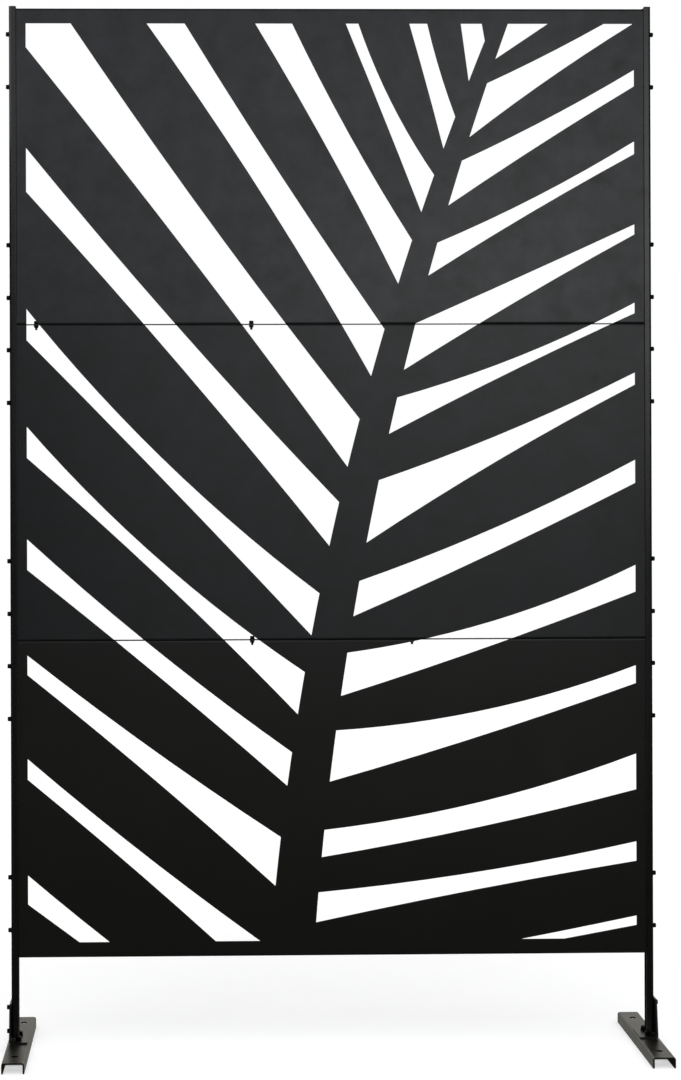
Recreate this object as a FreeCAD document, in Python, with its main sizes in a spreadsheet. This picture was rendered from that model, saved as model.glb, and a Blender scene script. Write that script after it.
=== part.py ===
# Garden privacy screen: three pierced sheet-steel trays stacked between two channel posts, each post
# bolted to an angle bracket on a channel foot. Millimetres, +Z up, the front faces -Y, and the origin
# lies on the floor below the middle of the screen.
import FreeCAD, Part
import math
import os
import Sketcher
from FreeCAD import Placement, Rotation, Vector

# Driving sizes: name, value and what it measures.
SIZES = (
    ("screen_width", 1220.0, "over the outer faces of the posts"),
    ("ground_gap", 176.0, "floor to the lowest panel"),
    ("panel_height", 599.0, "one tray of the stack"),
    ("sheet_wall", 1.0, "sheet of the trays"),
    ("panel_bend", 2.5, "outer radius of the tray folds"),
    ("notch_margin", 0.5, "how far corner notches and gaps reach past a fold"),
    ("panel_play", 0.3, "tray face to the post flange in front of it"),
    ("side_border", 30.5, "plain sheet beside the leaf gaps"),
    ("end_border", 28.5, "plain sheet above and below the leaf gaps"),
    ("bolt_first", 51.0, "tray's lower edge to its lowest side bolt"),
    ("bolt_near", 100.0, "between the two side bolts of a pair"),
    ("bolt_last", 48.0, "tray's upper edge to its highest side bolt"),
    ("seam_inner", 152.0, "middle of the screen to the inner seam bolts"),
    ("seam_side", 48.5, "tray's side to the outer seam bolts"),
    ("post_width", 14.0, "post seen from the front"),
    ("post_depth", 18.5, "post seen from the side"),
    ("post_wall", 1.5, "sheet of the posts"),
    ("post_bend", 4.5, "outer radius of the post folds"),
    ("post_edge", 1.3, "rounding of the post flanges' free edges"),
    ("post_rise", 4.0, "post top above the trays"),
    ("post_lift", 2.0, "post's lower end above the bracket"),
    ("post_chamfer", 1.5, "cut at the free upper corners of the post flanges"),
    ("foot_length", 300.0, "foot from front to back"),
    ("foot_width", 42.0, "foot seen from the front"),
    ("foot_height", 20.0, "foot above the floor"),
    ("foot_wall", 3.0, "sheet of the feet"),
    ("foot_bend", 4.5, "outer radius of the foot folds"),
    ("foot_overhang", 7.0, "foot beyond the outer face of the post"),
    ("anchor_radius", 6.0, "round holes for ground anchors"),
    ("anchor_reach", 110.0, "middle of the foot to an anchor hole"),
    ("bracket_wall", 3.0, "plate of the brackets"),
    ("bracket_bend", 4.5, "outer radius of the bracket fold"),
    ("bracket_reach", 35.0, "base leg, seen from the front"),
    ("bracket_height", 71.0, "upright leg"),
    ("bracket_depth", 64.0, "bracket from front to back at its base"),
    ("bracket_top", 42.0, "upright leg from front to back at its top"),
    ("bracket_corner", 3.0, "radius of the bracket's free corners"),
    ("bracket_bolt_low", 16.0, "foot's top to the lower post bolt"),
    ("bracket_bolt_step", 45.0, "between the two post bolts"),
    ("foot_bolt_reach", 18.0, "middle of the foot to a foot bolt"),
    ("hole_play", 0.25, "hole's radius over the bolt's"),
    ("thread_play", 0.05, "nut's bore over the bolt's radius"),
    ("rim_round", 0.5, "rounded rims of bolts and nuts"),
    ("small_radius", 2.5, "shank of the tray and post bolts"),
    ("small_length", 12.0, "shank length"),
    ("small_head_radius", 4.25, "head"),
    ("small_head_height", 5.0, "head"),
    ("small_socket", 4.0, "hexagon socket across flats"),
    ("small_socket_depth", 2.5, "hexagon socket"),
    ("small_nut", 8.0, "nut across flats"),
    ("small_nut_height", 3.5, "hexagon of the nut"),
    ("small_collar_radius", 3.6, "locking collar of the nut"),
    ("small_collar_height", 1.5, "locking collar of the nut"),
    ("small_washer_radius", 5.0, "washer"),
    ("small_washer_wall", 1.0, "washer"),
    ("large_radius", 3.0, "shank of the foot bolts"),
    ("large_length", 16.0, "shank length"),
    ("large_head_radius", 5.0, "head"),
    ("large_head_height", 6.0, "head"),
    ("large_socket", 5.0, "hexagon socket across flats"),
    ("large_socket_depth", 3.0, "hexagon socket"),
    ("large_nut", 10.0, "nut across flats"),
    ("large_nut_height", 4.5, "hexagon of the nut"),
    ("large_collar_radius", 4.5, "locking collar of the nut"),
    ("large_collar_height", 1.5, "locking collar of the nut"),
    ("large_washer_radius", 6.0, "washer"),
    ("large_washer_wall", 1.6, "washer"),
    ("rib_foot", -119.7, "left edge of the rib at the lower border, from the middle"),
    ("rib_top", 306.9, "left edge of the rib at the upper border, from the middle"),
    ("rib_foot_width", 84.4, "rib at the lower border"),
    ("rib_top_width", 30.8, "rib at the upper border"),
    ("rib_left_bow", 68.8, "how far the rib's left edge bends from its chord"),
    ("rib_right_bow", 61.1, "how far the rib's right edge bends from its chord"),
)

# Leaf gaps from the lower corner upwards. Each row: the leaf before the gap and the gap itself,
# measured along the lower border and the rib, the same two along the side and upper border, and how
# far the leaf below and the leaf above bulge into the gap.
GAP_SIZES = ("rib_leaf", "rib_gap", "border_leaf", "border_gap", "low_bulge", "high_bulge")
LEFT_GAPS = (
    (97, 57, 72, 55, 0, 1),
    (201, 84, 181, 39, 3, 6),
    (124, 93, 159, 37, 5, 6.5),
    (98, 64, 162, 58, 4, 10),
    (73, 81, 154, 59, 8, 23),
    (71, 81, 164, 59, 3, 24),
    (92, 85, 222, 83, 7, 9),
    (69, 94, 191, 130, 6, 9),
    (84, 93, 144, 72, 11, 5),
    (90, 87, 134, 70, 6, 7),
    (56, 75, 102, 24, 1, 11),
    (53, 65, 97, 34, 1, 3),
    (72, 83, 64, 40, 0, 0),
)
RIGHT_GAPS = (
    (138, 83, 25, 18, 0, 0.5),
    (427, 57, 104, 37, 4, 9.5),
    (67, 52, 99, 68, -7, 19),
    (92, 98, 134, 34, -5, 22),
    (66, 83, 140, 51, -5, 23),
    (70, 68, 156, 44, -4.5, 11),
    (74, 121, 143, 23, 8, 9),
    (90, 71, 113, 20, 4, 13),
    (54, 91, 130, 19, 4, 1),
    (94, 65, 134, 24, 4, 8),
    (74, 89, 105, 31, 3, 5),
    (47, 108, 90, 55, 5, 2.5),
    (49, 71, 107, 76, 0, 0),
)
# The leaf after the last gap, at the rib and at the border.
LAST_LEAVES = {"left": (35, 19), "right": (0, 0)}

PANELS = ("bottom", "middle", "top")
SIDES = {"left": -1, "right": 1}
CORNER_PER_FLAT = 1 / math.sqrt(3)
TINY = 0.001


class Size:
    """A length that carries its number and the expression that binds it to the sheet."""

    def __init__(self, number, text):
        self.number = float(number)
        self.text = text

    def __add__(self, other):
        other = as_size(other)
        return Size(self.number + other.number, f"({self.text} + {other.text})")

    def __sub__(self, other):
        other = as_size(other)
        return Size(self.number - other.number, f"({self.text} - {other.text})")

    def __mul__(self, factor):
        return Size(self.number * factor, f"({self.text} * ({factor!r}))")

    def __truediv__(self, divisor):
        return Size(self.number / divisor, f"({self.text} / {divisor!r})")

    def __neg__(self):
        return self * -1


def as_size(value):
    """A plain number as a size that no cell changes."""
    if isinstance(value, Size):
        return value
    return Size(value, f"({float(value)!r})")


def named_cells():
    """Every driving size in turn, with the leaf gaps after the plain ones."""
    yield from SIZES
    for side, rows in (("left", LEFT_GAPS), ("right", RIGHT_GAPS)):
        for number, row in enumerate(rows, 1):
            for name, value in zip(GAP_SIZES, row):
                yield f"{side}_{number}_{name}", value, f"leaf gap {number} on the {side}"
        for name, value in zip(("rib_last", "border_last"), LAST_LEAVES[side]):
            yield f"{side}_{name}", value, f"leaf after the last gap on the {side}"


def fill_sheet():
    """Writes the driving sizes into the sheet and returns them by name."""
    sheet = doc.addObject("Spreadsheet::Sheet", "Sizes")
    names = []
    for row, (name, value, note) in enumerate(named_cells(), 1):
        sheet.set(f"A{row}", note)
        sheet.set(f"B{row}", str(value))
        sheet.setAlias(f"B{row}", name)
        names.append(name)
    doc.recompute()
    return {name: Size(sheet.get(name), f"Sizes.{name}") for name in names}


doc = FreeCAD.newDocument("PrivacyScreen")
size = fill_sheet()
ZERO = as_size(0)

# Places that several pieces share.
half_width = size["screen_width"] / 2
panel_width = size["screen_width"] - size["post_wall"] * 2
post_inner_bend = size["post_bend"] - size["post_wall"]
panel_depth = size["post_depth"] - size["post_wall"] * 2 - size["panel_play"] * 2 - post_inner_bend
bolt_line = size["post_depth"] / 2 - size["post_wall"] - size["panel_play"]
panel_front = -bolt_line
fold_reach = size["panel_bend"] + size["notch_margin"]
stack_height = size["panel_height"] * len(PANELS)
bracket_base = size["foot_height"] + size["bracket_wall"]
post_base = bracket_base + size["post_lift"]
post_length = size["ground_gap"] + stack_height + size["post_rise"] - post_base
foot_middle = half_width + size["foot_overhang"] - size["foot_width"] / 2
bracket_face = half_width + size["bracket_wall"]
highest_bolt = size["panel_height"] - size["bolt_last"]
side_bolt_heights = [size["bolt_first"], size["bolt_first"] + size["bolt_near"]]
side_bolt_heights += [highest_bolt - size["bolt_near"], highest_bolt]
seam_outer = panel_width / 2 - size["seam_side"]
seam_places = [-seam_outer, -size["seam_inner"], size["seam_inner"], seam_outer]
bracket_bolt_heights = [size["bracket_bolt_low"], size["bracket_bolt_low"] + size["bracket_bolt_step"]]
foot_bolt_places = [-size["foot_bolt_reach"], size["foot_bolt_reach"]]
small_hole = size["small_radius"] + size["hole_play"]
large_hole = size["large_radius"] + size["hole_play"]


# Sketch helpers.


def bind(item, name, value):
    """Ties one property of an object to the sheet."""
    item.setExpression(name, value.text)


def origin_plane(body, role):
    """The plane of the body's own origin that has this role."""
    return next(plane for plane in body.Origin.OriginFeatures if plane.Role == role)


def attach(feature, body, role, offset=None, turn=0):
    """Lays a sketch or primitive on an origin plane, turned in the plane and moved by sizes."""
    feature.AttachmentSupport = [(origin_plane(body, role), "")]
    feature.MapMode = "FlatFace"
    feature.AttachmentOffset = Placement(Vector(), Rotation(Vector(0, 0, 1), turn))
    for axis, value in (offset or {}).items():
        bind(feature, f"AttachmentOffset.Base.{axis}", value)


def new_sketch(body, name, role, offset=None, turn=0):
    """An empty sketch of the body."""
    sketch = body.newObject("Sketcher::SketchObject", name)
    attach(sketch, body, role, offset, turn)
    return sketch


def constrain(sketch, kind, *where, value=None):
    """Adds one constraint, bound to the sheet where it has a value."""
    if value is None:
        sketch.addConstraint(Sketcher.Constraint(kind, *where))
        return
    index = sketch.addConstraint(Sketcher.Constraint(kind, *where, value.number))
    bind(sketch, f"Constraints[{index}]", value)


def draw_outline(sketch, sides, rounds=None):
    """Closed outline of upright and level lines with rounded corners.

    A side is ("x", size) for an upright line or ("y", size) for a level one, in turn. Corner i ends
    side i, and rounds gives the radius of each corner that is round.
    """
    rounds = rounds or {}
    count = len(sides)
    corners = []
    for index in range(count):
        place = dict((sides[index], sides[(index + 1) % count]))
        corners.append(Vector(place["x"].number, place["y"].number, 0))
    ways = [(corners[i] - corners[i - 1]).normalize() for i in range(count)]
    cuts = [rounds[i].number if i in rounds else 0 for i in range(count)]
    for i in range(count):
        start = corners[i - 1] + ways[i] * cuts[i - 1]
        end = corners[i] - ways[i] * cuts[i]
        sketch.addGeometry(Part.LineSegment(start, end), False)
        upright = sides[i][0] == "x"
        constrain(sketch, "Vertical" if upright else "Horizontal", i)
        constrain(sketch, "DistanceX" if upright else "DistanceY", i, 1, value=sides[i][1])
    for i in range(count):
        following = (i + 1) % count
        if i not in rounds:
            constrain(sketch, "Coincident", i, 2, following, 1)
            continue
        start = corners[i] - ways[i] * cuts[i]
        end = corners[i] + ways[following] * cuts[i]
        centre = start + ways[following] * cuts[i]
        middle = centre + (corners[i] - centre).normalize() * cuts[i]
        arc = sketch.addGeometry(Part.ArcOfCircle(start, middle, end), False)
        turns_left = ways[i].cross(ways[following]).z > 0
        first, last = (1, 2) if turns_left else (2, 1)
        constrain(sketch, "Tangent", i, 2, arc, first)
        constrain(sketch, "Tangent", arc, last, following, 1)
        constrain(sketch, "Radius", arc, value=rounds[i])


def draw_polygon(sketch, points):
    """Closed polygon through points given as pairs of sizes."""
    first = sketch.GeometryCount
    count = len(points)
    corners = [Vector(x.number, y.number, 0) for x, y in points]
    for i in range(count):
        sketch.addGeometry(Part.LineSegment(corners[i], corners[(i + 1) % count]), False)
    for i in range(count):
        constrain(sketch, "Coincident", first + i, 2, first + (i + 1) % count, 1)
        constrain(sketch, "DistanceX", first + i, 1, value=points[i][0])
        constrain(sketch, "DistanceY", first + i, 1, value=points[i][1])


def draw_circles(sketch, points, radius):
    """Equal circles round points given as pairs of sizes."""
    for x, y in points:
        circle = Part.Circle(Vector(x.number, y.number, 0), Vector(0, 0, 1), radius.number)
        index = sketch.addGeometry(circle, False)
        constrain(sketch, "DistanceX", index, 3, value=x)
        constrain(sketch, "DistanceY", index, 3, value=y)
        constrain(sketch, "Radius", index, value=radius)


def draw_channel(sketch, width, depth, wall, bend, edge=None):
    """Section of a folded channel: web on the sketch's X axis, open towards its +Y."""
    outer = width / 2
    inner = outer - wall
    sides = [("y", ZERO), ("x", outer), ("y", depth), ("x", inner)]
    sides += [("y", wall), ("x", -inner), ("y", depth), ("x", -outer)]
    rounds = {0: bend, 3: bend - wall, 4: bend - wall, 7: bend}
    if edge is not None:
        rounds.update({1: edge, 6: edge})
    draw_outline(sketch, sides, rounds)


# Feature helpers.


def pad(body, sketch, length, symmetric=False):
    """Raises a sketch by a length, to one side or half to each side."""
    feature = body.newObject("PartDesign::Pad", "Pad")
    feature.Profile = sketch
    bind(feature, "Length", length)
    feature.SideType = "Symmetric" if symmetric else "One side"
    doc.recompute()
    return feature


def pocket(body, sketch, length=None, backwards=False):
    """Cuts a sketch into the body, through all of it both ways where no length is given."""
    before = body.Shape.Volume
    feature = body.newObject("PartDesign::Pocket", "Pocket")
    feature.Profile = sketch
    if length is None:
        feature.Type = "ThroughAll"
        feature.SideType = "Symmetric"
    else:
        bind(feature, "Length", length)
        feature.Reversed = backwards
    doc.recompute()
    if body.Shape.Volume > before - TINY:
        raise RuntimeError(f"{body.Label}: {sketch.Label} cuts nothing")
    return feature


def round_edges(body, wanted, radius):
    """Rounds the edges of the body whose middle point passes a test."""
    base = body.Tip
    names = []
    for number, edge in enumerate(base.Shape.Edges, 1):
        if wanted(edge):
            names.append(f"Edge{number}")
    if not names:
        raise RuntimeError(f"{body.Label}: no edge to round")
    feature = body.newObject("PartDesign::Fillet", "Fillet")
    feature.Base = (base, names)
    bind(feature, "Radius", radius)
    doc.recompute()


def primitive(body, kind, height, offset=None, **sizes):
    """A prism or cylinder of the body, standing on its XY plane moved by an offset."""
    feature = body.newObject(f"PartDesign::{kind}", kind)
    attach(feature, body, "XY_Plane", offset)
    if kind.endswith("Prism"):
        feature.Polygon = 6
    bind(feature, "Height", height)
    for name, value in sizes.items():
        bind(feature, name, value)
    doc.recompute()


def turn_round(body, kind, sketch):
    """Turns a half profile once round the sketch's upright axis, as added or cut material."""
    feature = body.newObject(f"PartDesign::{kind}", kind)
    feature.Profile = sketch
    feature.ReferenceAxis = (sketch, ["V_Axis"])
    feature.Angle = 360
    doc.recompute()


def place(item, spot, turn=None):
    """Puts an object at a spot given by three sizes."""
    item.Placement = Placement(Vector(*(value.number for value in spot)), turn or Rotation())
    for axis, value in zip("xyz", spot):
        bind(item, f"Placement.Base.{axis}", value)


def new_body(label):
    """An empty body."""
    body = doc.addObject("PartDesign::Body", label)
    body.Label = label
    return body


# Leaf pattern.


def stations(side, path_name, path_length):
    """Begin and end of each gap along a path, with leaves and gaps filling the whole path."""
    rows = {"left": LEFT_GAPS, "right": RIGHT_GAPS}[side]
    spans = []
    reached = 0
    for number in range(1, len(rows) + 1):
        begin = reached + size[f"{side}_{number}_{path_name}_leaf"].number
        reached = begin + size[f"{side}_{number}_{path_name}_gap"].number
        spans.append((begin, reached))
    scale = path_length / (reached + size[f"{side}_{path_name}_last"].number)
    return [(begin * scale, end * scale) for begin, end in spans]


def path_run(path, begin, end):
    """The edges of a path between two distances from its start."""
    pieces = []
    passed = 0
    for edge in path:
        low = max(begin - passed, 0)
        high = min(end - passed, edge.Length)
        if high - low > TINY:
            first, last = edge.getParameterByLength(low), edge.getParameterByLength(high)
            pieces.append(edge.Curve.toShape(first, last))
        passed += edge.Length
    return pieces


def bulging_edge(start, end, bulge, gap_middle):
    """Edge of a leaf, bent towards the middle of the gap."""
    middle = (start + end) / 2
    chord = end - start
    across = Vector(-chord.z, 0, chord.x).normalize()
    if across.dot(gap_middle - middle) < 0:
        across = -across
    if abs(bulge) < TINY:
        return Part.LineSegment(start, end).toShape()
    return Part.Arc(start, middle + across * bulge, end).toShape()


def gap_outline(inner, outer, low_bulge, high_bulge):
    """Wire round one gap between a run along the rib and a run along the border."""
    low_start, low_end = inner[0].Vertexes[0].Point, outer[0].Vertexes[0].Point
    high_start, high_end = inner[-1].Vertexes[-1].Point, outer[-1].Vertexes[-1].Point
    middle = (low_start + low_end + high_start + high_end) / 4
    edges = inner + outer
    edges.append(bulging_edge(low_start, low_end, low_bulge, middle))
    if high_start.distanceToPoint(high_end) > TINY:
        edges.append(bulging_edge(high_start, high_end, high_bulge, middle))
    return Part.Wire(Part.__sortEdges__(edges))


def rib_edge(foot_x, top_x, bow, low, high):
    """Arc of one edge of the rib, from the lower to the upper border."""
    foot, top = Vector(foot_x, 0, low), Vector(top_x, 0, high)
    chord = top - foot
    across = Vector(-chord.z, 0, chord.x).normalize()
    return Part.Arc(foot, (foot + top) / 2 + across * bow, top).toShape()


def leaf_gap_cutters():
    """Prisms that cut every leaf gap through the face of the stacked trays."""
    side_x = (panel_width / 2 - size["side_border"]).number
    low = (size["ground_gap"] + size["end_border"]).number
    high = (size["ground_gap"] + stack_height - size["end_border"]).number
    foot_x, top_x = size["rib_foot"].number, size["rib_top"].number
    foot_far = foot_x + size["rib_foot_width"].number
    top_far = top_x + size["rib_top_width"].number
    edges_of_rib = {
        "left": rib_edge(foot_x, top_x, size["rib_left_bow"].number, low, high),
        "right": rib_edge(foot_far, top_far, size["rib_right_bow"].number, low, high),
    }
    clear = size["sheet_wall"].number
    lead = Vector(0, panel_front.number - clear, 0)
    depth = Vector(0, fold_reach.number + clear, 0)
    prisms = []
    for side, sign in SIDES.items():
        rib = edges_of_rib[side]
        corner, upper_corner = Vector(sign * side_x, 0, low), Vector(sign * side_x, 0, high)
        rib_foot, rib_top = rib.Vertexes[0].Point, rib.Vertexes[-1].Point
        inner_path = [Part.LineSegment(corner, rib_foot).toShape(), rib]
        outer_path = [Part.LineSegment(corner, upper_corner).toShape()]
        outer_path.append(Part.LineSegment(upper_corner, rib_top).toShape())
        inner_spans = stations(side, "rib", sum(edge.Length for edge in inner_path))
        outer_spans = stations(side, "border", sum(edge.Length for edge in outer_path))
        for number, (inner_span, outer_span) in enumerate(zip(inner_spans, outer_spans), 1):
            bulges = [size[f"{side}_{number}_{name}_bulge"].number for name in ("low", "high")]
            inner, outer = path_run(inner_path, *inner_span), path_run(outer_path, *outer_span)
            face = Part.Face(gap_outline(inner, outer, *bulges))
            face.translate(lead)
            prisms.append(face.extrude(depth))
    cutter = doc.addObject("Part::Feature", "leaf_gaps")
    cutter.Shape = Part.makeCompound(prisms)
    return cutter


# Sheet-metal pieces.


def make_tray(name, seams):
    """One tray: a face with flanges folded back on four sides, drilled for its bolts."""
    body = new_body(f"{name}_tray")
    height = size["panel_height"]
    section = (panel_depth, size["sheet_wall"], size["panel_bend"])
    upright = new_sketch(body, "side_folds", "XY_Plane", {"z": fold_reach})
    draw_channel(upright, panel_width, *section)
    pad(body, upright, height - fold_reach * 2)
    level = new_sketch(body, "end_folds", "YZ_Plane", {"y": height / 2}, turn=-90)
    draw_channel(level, height, *section)
    pad(body, level, panel_width - fold_reach * 2, symmetric=True)
    side_holes = new_sketch(body, "side_holes", "YZ_Plane")
    draw_circles(side_holes, [(bolt_line, high) for high in side_bolt_heights], small_hole)
    pocket(body, side_holes)
    for seam in seams:
        on_top = seam == "upper"
        seam_holes = new_sketch(body, f"{seam}_holes", "XY_Plane", {"z": height if on_top else ZERO})
        draw_circles(seam_holes, [(x, bolt_line) for x in seam_places], small_hole)
        pocket(body, seam_holes, fold_reach, backwards=not on_top)
    return body


def make_panel(name, level, seams, cutter):
    """One tray of the stack with its share of the leaf gaps cut out of its face."""
    tray = make_tray(name, seams)
    place(tray, (ZERO, panel_front, size["ground_gap"] + size["panel_height"] * level))
    panel = doc.addObject("Part::Cut", f"{name}_panel")
    panel.Label = f"{name}_panel"
    panel.Base = tray
    panel.Tool = cutter
    return panel


def make_post(name, sign):
    """Channel post with its web outwards, drilled for the trays and the bracket."""
    body = new_body(f"{name}_post")
    section = new_sketch(body, "section", "XY_Plane")
    folds = (size["post_wall"], size["post_bend"], size["post_edge"])
    draw_channel(section, size["post_depth"], size["post_width"], *folds)
    pad(body, section, post_length)
    corner = new_sketch(body, "corner_cut", "YZ_Plane")
    wide, tall, cut = size["post_width"], post_length, size["post_chamfer"]
    draw_polygon(corner, [(wide - cut, tall), (wide, tall - cut), (wide, tall)])
    pocket(body, corner)
    bracket_holes = new_sketch(body, "bracket_holes", "XZ_Plane")
    foot_top = size["foot_height"] - post_base
    draw_circles(bracket_holes, [(ZERO, foot_top + high) for high in bracket_bolt_heights], small_hole)
    pocket(body, bracket_holes, size["post_bend"])
    tray_holes = new_sketch(body, "tray_holes", "XZ_Plane")
    first_tray = size["ground_gap"] - post_base
    draw_circles(tray_holes, [(ZERO, first_tray + high) for high in side_bolt_heights], small_hole)
    holes = pocket(body, tray_holes, size["post_bend"])
    rows = body.newObject("PartDesign::LinearPattern", "tray_rows")
    rows.Originals = [holes]
    rows.Direction = (tray_holes, ["V_Axis"])
    bind(rows, "Length", size["panel_height"] * (len(PANELS) - 1))
    rows.Occurrences = len(PANELS)
    body.Tip = rows
    place(body, (half_width * sign, ZERO, post_base), Rotation(Vector(0, 0, 1), 90 * sign))
    return body


def make_foot(name, sign):
    """Channel foot lying front to back with its web on top, drilled for anchors and its bracket."""
    body = new_body(f"{name}_foot")
    section = new_sketch(body, "section", "XZ_Plane")
    draw_channel(section, size["foot_width"], size["foot_height"], size["foot_wall"], size["foot_bend"])
    pad(body, section, size["foot_length"], symmetric=True)
    anchors = new_sketch(body, "anchor_holes", "XY_Plane")
    anchor_places = [-size["anchor_reach"], size["anchor_reach"]]
    draw_circles(anchors, [(ZERO, y) for y in anchor_places], size["anchor_radius"])
    pocket(body, anchors, size["foot_bend"], backwards=True)
    bolts = new_sketch(body, "bolt_holes", "XY_Plane")
    draw_circles(bolts, [(ZERO, y) for y in foot_bolt_places], large_hole)
    pocket(body, bolts, size["foot_bend"], backwards=True)
    upside_down = Rotation(Vector(0, 1, 0), 180)
    place(body, (foot_middle * sign, ZERO, size["foot_height"]), upside_down)
    return body


def make_bracket(name, sign):
    """Angle bracket: upright leg outside the post, base leg on the foot."""
    body = new_body(f"{name}_foot_bracket")
    wall, bend = size["bracket_wall"], size["bracket_bend"]
    reach, height = size["bracket_reach"], size["bracket_height"]
    section = new_sketch(body, "section", "XZ_Plane")
    sides = [("y", ZERO), ("x", reach), ("y", wall), ("x", wall), ("y", height), ("x", ZERO)]
    draw_outline(section, sides, {2: bend - wall, 5: bend})
    pad(body, section, size["bracket_depth"], symmetric=True)
    taper = new_sketch(body, "taper", "YZ_Plane")
    base_half, top_half = size["bracket_depth"] / 2, size["bracket_top"] / 2
    for way in (-1, 1):
        low, high = base_half * way, top_half * way
        draw_polygon(taper, [(low, bend), (low, height), (high, height)])
    pocket(body, taper, bend, backwards=True)
    post_holes = new_sketch(body, "post_holes", "YZ_Plane")
    draw_circles(post_holes, [(ZERO, high) for high in bracket_bolt_heights], small_hole)
    pocket(body, post_holes, bend, backwards=True)
    foot_holes = new_sketch(body, "foot_holes", "XY_Plane")
    across = bracket_face - foot_middle
    draw_circles(foot_holes, [(across, y) for y in foot_bolt_places], large_hole)
    pocket(body, foot_holes, wall, backwards=True)

    def free_corner(edge):
        """Short edges across the plate at the free ends of both legs."""
        box = edge.BoundBox
        at_end_of_base = abs(box.XMin - reach.number) < TINY and box.XLength < TINY and box.YLength < TINY
        at_top = abs(box.ZMin - height.number) < TINY and box.ZLength < TINY and box.YLength < TINY
        return at_end_of_base or at_top

    round_edges(body, free_corner, size["bracket_corner"])
    turn = Rotation(Vector(0, 0, 1), 0 if sign < 0 else 180)
    place(body, (bracket_face * sign, ZERO, size["foot_height"]), turn)
    return body


# Fasteners.


def make_bolt(kind):
    """Cap bolt with a hexagon socket: shank along -Z below the head's seat at the origin."""
    body = new_body(f"{kind}_bolt")
    shank, head = size[f"{kind}_radius"], size[f"{kind}_head_radius"]
    length, tall = size[f"{kind}_length"], size[f"{kind}_head_height"]
    profile = new_sketch(body, "half_profile", "XZ_Plane")
    sides = [("y", -length), ("x", shank), ("y", ZERO), ("x", head), ("y", tall), ("x", ZERO)]
    draw_outline(profile, sides, {0: size["rim_round"], 3: size["rim_round"]})
    turn_round(body, "Revolution", profile)
    depth = size[f"{kind}_socket_depth"]
    corner = size[f"{kind}_socket"] * CORNER_PER_FLAT
    primitive(body, "SubtractivePrism", depth, {"z": tall - depth}, Circumradius=corner)
    return body


def make_nut(kind):
    """Lock nut with a round collar: its seat at the origin, its body along -Z."""
    body = new_body(f"{kind}_nut")
    hexagon, collar = size[f"{kind}_nut_height"], size[f"{kind}_collar_height"]
    corner = size[f"{kind}_nut"] * CORNER_PER_FLAT
    primitive(body, "AdditivePrism", hexagon, {"z": -hexagon}, Circumradius=corner)
    flat = size[f"{kind}_nut"] / 2
    beyond = flat + (corner - flat) * 2
    drop = (beyond - flat) * CORNER_PER_FLAT
    bevel = new_sketch(body, "corner_bevel", "XZ_Plane")
    draw_polygon(bevel, [(flat, ZERO), (beyond, ZERO), (beyond, -drop)])
    draw_polygon(bevel, [(flat, -hexagon), (beyond, -hexagon), (beyond, drop - hexagon)])
    turn_round(body, "Groove", bevel)
    tall = hexagon + collar
    primitive(body, "AdditiveCylinder", tall, {"z": -tall}, Radius=size[f"{kind}_collar_radius"])
    bore = size[f"{kind}_radius"] + size["thread_play"]
    primitive(body, "SubtractiveCylinder", tall, {"z": -tall}, Radius=bore)
    round_edges(body, lambda edge: on_rim(edge, -tall, size[f"{kind}_collar_radius"]), size["rim_round"])
    return body


def on_rim(edge, level, radius):
    """Whether an edge is the circle of this radius at this height."""
    if not isinstance(edge.Curve, Part.Circle):
        return False
    same_radius = abs(edge.Curve.Radius - radius.number) < TINY
    return same_radius and abs(edge.BoundBox.ZMax - level.number) < TINY


def make_washer(kind):
    """Flat washer: lying on the origin, its body along +Z."""
    body = new_body(f"{kind}_washer")
    wall = size[f"{kind}_washer_wall"]
    primitive(body, "AdditiveCylinder", wall, Radius=size[f"{kind}_washer_radius"])
    bore = size[f"{kind}_radius"] + size["hole_play"]
    primitive(body, "SubtractiveCylinder", wall, Radius=bore)
    return body


def moved(spot, axis, distance):
    """A spot shifted along one of the frame's axes."""
    return tuple(value + distance * part if part else value for value, part in zip(spot, axis))


def fasten(label, kind, seats, axis, grip):
    """Three groups for equal joints: bolts and washers on their seats, nuts beyond the grip."""
    turn = Rotation(Vector(0, 0, 1), Vector(*axis))
    offsets = {"bolt": size[f"{kind}_washer_wall"], "washer": ZERO, "nut": -grip}
    groups = []
    for piece, distance in offsets.items():
        links = []
        for number, seat in enumerate(seats, 1):
            link = doc.addObject("App::Link", f"{label}_{piece}_{number}")
            link.LinkedObject = fasteners[kind, piece]
            place(link, moved(seat, axis, distance), turn)
            links.append(link)
        group = doc.addObject("Part::Compound", f"{label}_{piece}s")
        group.Label = f"{label}_{piece}s"
        group.Links = links
        groups.append(group)
    return groups


def fasten_all():
    """Every bolted joint of the screen."""
    groups = []
    wall = size["sheet_wall"]
    for side, sign in SIDES.items():
        outwards, post_face = (sign, 0, 0), half_width * sign
        for level, name in enumerate(PANELS):
            base = size["ground_gap"] + size["panel_height"] * level
            seats = [(post_face, ZERO, base + high) for high in side_bolt_heights]
            groups += fasten(f"{side}_{name}", "small", seats, outwards, size["post_wall"] + wall)
        seats = [(bracket_face * sign, ZERO, size["foot_height"] + high) for high in bracket_bolt_heights]
        grip = size["bracket_wall"] + size["post_wall"]
        groups += fasten(f"{side}_bracket", "small", seats, outwards, grip)
        seats = [(foot_middle * sign, y, bracket_base) for y in foot_bolt_places]
        grip = size["bracket_wall"] + size["foot_wall"]
        groups += fasten(f"{side}_foot", "large", seats, (0, 0, 1), grip)
    for level, name in enumerate(("lower", "upper"), 1):
        seam = size["ground_gap"] + size["panel_height"] * level
        seats = [(x, ZERO, seam + wall) for x in seam_places]
        groups += fasten(f"{name}_seam", "small", seats, (0, 0, 1), wall * 2)
    return groups


# The whole screen.

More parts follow.
